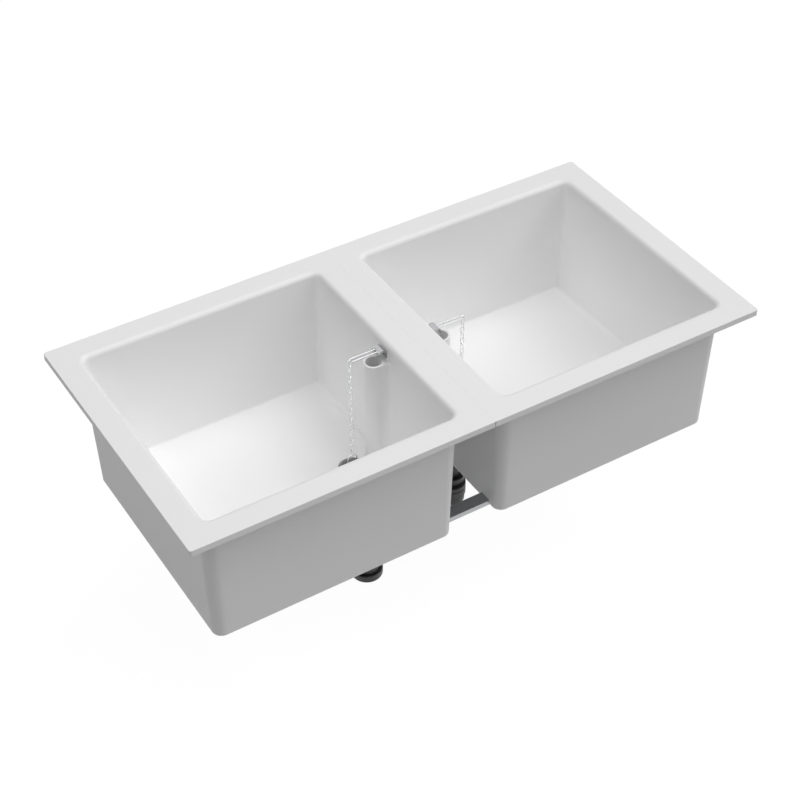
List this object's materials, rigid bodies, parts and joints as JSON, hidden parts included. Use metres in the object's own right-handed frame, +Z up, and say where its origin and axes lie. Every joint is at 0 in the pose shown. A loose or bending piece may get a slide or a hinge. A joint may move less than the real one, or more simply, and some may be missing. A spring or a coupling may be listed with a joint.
{
  "type": "laboratory double sink",
  "caption": "Drop-in laboratory double sink: two butted moulded basins with overflow columns, chained plugs and a shared waste and bottle trap.",
  "frame": {"origin": "centre of the pair's rim underside, on the joint line, in the plane of the worktop", "axes": "+X along the pair to the bowl whose drop pipe ends in the cleaning cap, +Y to the wall behind, +Z up out of the bowls"},
  "size_m": [1.2, 0.6, 0.5815],
  "materials": {
    "cast_resin": "satin white cast resin",
    "joint_sealant": "matte",
    "bead_sealant": "satin white sealant",
    "bar_metal": "satin",
    "flange_metal": "polished",
    "chain_metal": "polished",
    "plug_rubber": "matte",
    "seal_rubber": "matte",
    "cap_plastic": "dull black",
    "nut_plastic": "satin black",
    "pipe_plastic": "satin black"
  },
  "bodies": {
    "sink": {"left_basin": "cast_resin", "right_basin": "cast_resin", "joint_seal": "joint_sealant", "joint_bead": "bead_sealant", "front_tie_bar": "bar_metal", "rear_tie_bar": "bar_metal", "left_waste_flange": "flange_metal", "right_waste_flange": "flange_metal", "left_flange_gasket": "seal_rubber", "right_flange_gasket": "seal_rubber", "left_waste_body": "pipe_plastic", "right_waste_body": "pipe_plastic", "left_body_gasket": "seal_rubber", "right_body_gasket": "seal_rubber", "left_waste_screw": "flange_metal", "right_waste_screw": "flange_metal", "left_waste_nut": "nut_plastic", "right_waste_nut": "nut_plastic", "left_tail_pipe": "pipe_plastic", "right_tail_pipe": "pipe_plastic", "left_tail_seals": "seal_rubber", "right_tail_seals": "seal_rubber", "left_tee": "pipe_plastic", "right_tee": "pipe_plastic", "left_tee_nut": "nut_plastic", "right_tee_nut": "nut_plastic", "cross_pipe": "pipe_plastic", "cross_pipe_nuts": "nut_plastic", "cross_pipe_seals": "seal_rubber", "trap_nut": "nut_plastic", "trap_inlet_seal": "seal_rubber", "trap_body": "pipe_plastic", "dip_tube": "pipe_plastic", "cup_seal": "seal_rubber", "outlet_nut": "nut_plastic", "outlet_seal": "seal_rubber", "outlet_pipe": "pipe_plastic", "cap_seal": "seal_rubber", "left_chain": "chain_metal", "right_chain": "chain_metal", "left_stay_bracket": "chain_metal", "right_stay_bracket": "chain_metal", "left_stay_bolt": "chain_metal", "right_stay_bolt": "chain_metal", "left_stay_arm": "chain_metal", "right_stay_arm": "chain_metal"},
    "left_plug_set": {"left_plug": "plug_rubber", "left_plug_cap": "cap_plastic"},
    "left_bail_wire": {"left_bail": "chain_metal"},
    "right_plug_set": {"right_plug": "plug_rubber", "right_plug_cap": "cap_plastic"},
    "right_bail_wire": {"right_bail": "chain_metal"},
    "trap_cup_body": {"trap_cup": "nut_plastic"},
    "cleaning_cap_body": {"cleaning_cap": "nut_plastic"}
  },
  "joints": [
    {"name": "left_plug_lift", "type": "slide", "parent": "sink", "child": "left_plug_set", "axis": [0, 0, 1], "range_m": [0, 0.06], "deforming": ["left_chain"]},
    {"name": "left_bail_swing", "type": "hinge", "parent": "left_plug_set", "child": "left_bail_wire", "pos_m": [-0.1245, -0.005, -0.258], "axis": [1, 0, 0], "range_deg": [-20, 20]},
    {"name": "right_plug_lift", "type": "slide", "parent": "sink", "child": "right_plug_set", "axis": [0, 0, 1], "range_m": [0, 0.06], "deforming": ["right_chain"]},
    {"name": "right_bail_swing", "type": "hinge", "parent": "right_plug_set", "child": "right_bail_wire", "pos_m": [0.1245, -0.005, -0.258], "axis": [1, 0, 0], "range_deg": [-20, 20]},
    {"name": "trap_cup_turn", "type": "hinge", "parent": "sink", "child": "trap_cup_body", "pos_m": [-0.1025, -0.012, -0.533], "axis": [0, 0, 1], "continuous": true},
    {"name": "cleaning_cap_turn", "type": "hinge", "parent": "sink", "child": "cleaning_cap_body", "pos_m": [0.1025, -0.012, -0.45], "axis": [0, 0, 1], "continuous": true}
  ]
}
